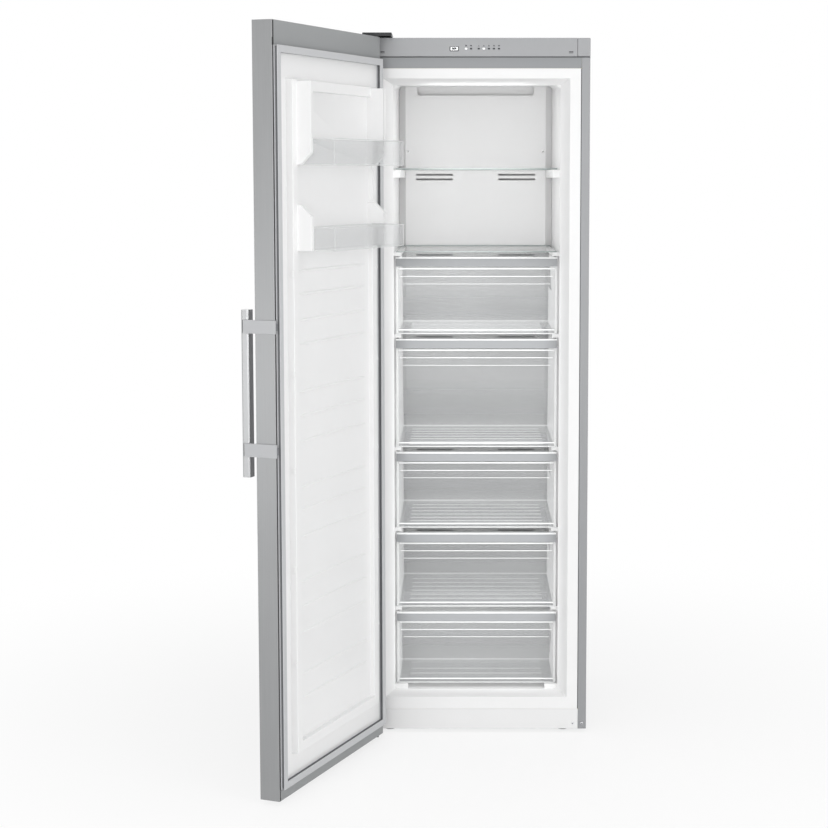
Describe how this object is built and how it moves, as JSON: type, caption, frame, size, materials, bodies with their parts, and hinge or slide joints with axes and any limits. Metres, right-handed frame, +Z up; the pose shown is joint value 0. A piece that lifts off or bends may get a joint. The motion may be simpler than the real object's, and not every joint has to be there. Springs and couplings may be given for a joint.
{
  "type": "upright freezer",
  "caption": "Tall frost-free upright freezer with a hinged door standing open, clear pull-out drawers, glass shelves, clear door bins and a bar handle.",
  "frame": {"origin": "on the floor, under the middle of the cabinet's footprint", "axes": "+Z up, +Y towards the rear of the cabinet, +X to the right as seen from the front"},
  "size_m": [0.8539, 1.2079, 1.8693],
  "materials": {
    "case_steel": "silver grey lacquered steel with a fine brushed grain",
    "door_steel": "stainless steel with a fine brushed grain and a clear coat",
    "fascia": "silver grey moulded plastic",
    "top_plastic": "mid grey moulded plastic",
    "rail_steel": "grey lacquered steel",
    "lower_panel": "white lacquered steel",
    "liner_white": "white thermoformed polystyrene",
    "door_liner_white": "white thermoformed polystyrene",
    "panel_white": "white moulded plastic",
    "drawer_clear": "clear crystal polystyrene",
    "drawer_front": "clear crystal polystyrene with a frosted band",
    "bin_clear": "clear crystal polystyrene",
    "shelf_glass": "clear toughened glass",
    "cap_grey": "dark grey moulded plastic",
    "gasket": "light grey magnetic gasket",
    "handle_bar": "satin anodised aluminium",
    "handle_bracket": "light grey painted aluminium",
    "bush_plastic": "dark acetal",
    "hinge_steel": "black painted steel",
    "hinge_cover": "black moulded plastic",
    "button": "chromed plastic",
    "lens_clear": "clear acrylic",
    "circuit_board": "green circuit board",
    "zinc_steel": "zinc coated steel",
    "copper_pipe": "black lacquered copper pipe",
    "compressor_black": "black enamelled steel",
    "black_plastic": "black moulded plastic",
    "shroud_white": "white moulded plastic",
    "coil_aluminium": "bright aluminium",
    "foam": "pale yellow rigid foam",
    "foot_black": "black nylon",
    "roller_black": "black nylon"
  },
  "bodies": {
    "cabinet": {"case_side_left": "case_steel", "case_side_right": "case_steel", "control_panel": "fascia", "panel_cap_left": "fascia", "panel_cap_right": "fascia", "top_cover": "top_plastic", "top_rail": "rail_steel", "lower_front_panel": "lower_panel", "inner_liner": "liner_white", "air_panel": "panel_white", "upper_hinge": "hinge_steel", "lower_hinge": "hinge_steel", "hinge_cover": "hinge_cover", "light_guide": "lens_clear", "control_board": "circuit_board", "rear_panel": "zinc_steel", "underbody_pan": "zinc_steel", "base_tray": "zinc_steel", "bay_cover": "zinc_steel", "suction_pipe": "copper_pipe", "compressor": "compressor_black", "drip_tray": "black_plastic", "mains_inlet": "black_plastic", "fan_motor": "black_plastic", "fan_shroud": "shroud_white", "evaporator": "coil_aluminium", "defrost_heater": "coil_aluminium", "foam_insulation": "foam"},
    "door": {"door_skin": "door_steel", "door_foam": "foam", "door_liner": "door_liner_white", "door_gasket": "gasket", "door_cap_top": "cap_grey", "door_cap_bottom": "cap_grey", "hinge_bush_top": "bush_plastic", "hinge_bush_bottom": "bush_plastic", "handle_bar": "handle_bar", "handle_bracket_upper": "handle_bracket", "handle_bracket_lower": "handle_bracket"},
    "upper_bin": {"door_bin_upper": "bin_clear"},
    "lower_bin": {"door_bin_lower": "bin_clear"},
    "drawer_1": {"drawer_1_basket": "drawer_clear", "drawer_1_front": "drawer_front"},
    "drawer_2": {"drawer_2_basket": "drawer_clear", "drawer_2_front": "drawer_front"},
    "drawer_3": {"drawer_3_basket": "drawer_clear", "drawer_3_front": "drawer_front"},
    "drawer_4": {"drawer_4_basket": "drawer_clear", "drawer_4_front": "drawer_front"},
    "drawer_5": {"drawer_5_basket": "drawer_clear", "drawer_5_front": "drawer_front"},
    "upper_shelf": {"glass_shelf_upper": "shelf_glass"},
    "lower_shelf": {"glass_shelf_lower": "shelf_glass"},
    "button": {"power_button": "button"},
    "rotor": {"fan_rotor": "black_plastic"},
    "left_roller": {"roller_left": "roller_black"},
    "right_roller": {"roller_right": "roller_black"},
    "left_foot": {"levelling_foot_left": "foot_black"},
    "right_foot": {"levelling_foot_right": "foot_black"}
  },
  "joints": [
    {"name": "door_hinge", "type": "hinge", "parent": "cabinet", "child": "door", "pos_m": [-0.288, -0.341, 0.9], "axis": [0, 0, -1], "range_deg": [-112, 8]},
    {"name": "upper_bin_lift", "type": "slide", "parent": "door", "child": "upper_bin", "axis": [0, 0, 1], "range_m": [0, 0.05]},
    {"name": "lower_bin_lift", "type": "slide", "parent": "door", "child": "lower_bin", "axis": [0, 0, 1], "range_m": [0, 0.05]},
    {"name": "drawer_1_slide", "type": "slide", "parent": "cabinet", "child": "drawer_1", "axis": [0, -1, 0], "range_m": [0, 0.33]},
    {"name": "drawer_2_slide", "type": "slide", "parent": "cabinet", "child": "drawer_2", "axis": [0, -1, 0], "range_m": [0, 0.33]},
    {"name": "drawer_3_slide", "type": "slide", "parent": "cabinet", "child": "drawer_3", "axis": [0, -1, 0], "range_m": [0, 0.33]},
    {"name": "drawer_4_slide", "type": "slide", "parent": "cabinet", "child": "drawer_4", "axis": [0, -1, 0], "range_m": [0, 0.33]},
    {"name": "drawer_5_slide", "type": "slide", "parent": "cabinet", "child": "drawer_5", "axis": [0, -1, 0], "range_m": [0, 0.2]},
    {"name": "upper_shelf_slide", "type": "slide", "parent": "cabinet", "child": "upper_shelf", "axis": [0, -1, 0], "range_m": [0, 0.35]},
    {"name": "lower_shelf_slide", "type": "slide", "parent": "cabinet", "child": "lower_shelf", "axis": [0, -1, 0], "range_m": [0, 0.35]},
    {"name": "button_push", "type": "slide", "parent": "cabinet", "child": "button", "axis": [0, 1, 0], "range_m": [0, 0.0015], "stiffness_N_per_m": 500},
    {"name": "rotor_spin", "type": "hinge", "parent": "cabinet", "child": "rotor", "pos_m": [0, 0.2137, 1.18], "axis": [0, 1, 0], "continuous": true},
    {"name": "left_roller_spin", "type": "hinge", "parent": "cabinet", "child": "left_roller", "pos_m": [-0.25, 0.247, 0.018], "axis": [1, 0, 0], "continuous": true},
    {"name": "left_foot_turn", "type": "hinge", "parent": "cabinet", "child": "left_foot", "pos_m": [-0.235, -0.255, 0], "axis": [0, 0, 1], "continuous": true},
    {"name": "right_roller_spin", "type": "hinge", "parent": "cabinet", "child": "right_roller", "pos_m": [0.25, 0.247, 0.018], "axis": [1, 0, 0], "continuous": true},
    {"name": "right_foot_turn", "type": "hinge", "parent": "cabinet", "child": "right_foot", "pos_m": [0.235, -0.255, 0], "axis": [0, 0, 1], "continuous": true}
  ]
}
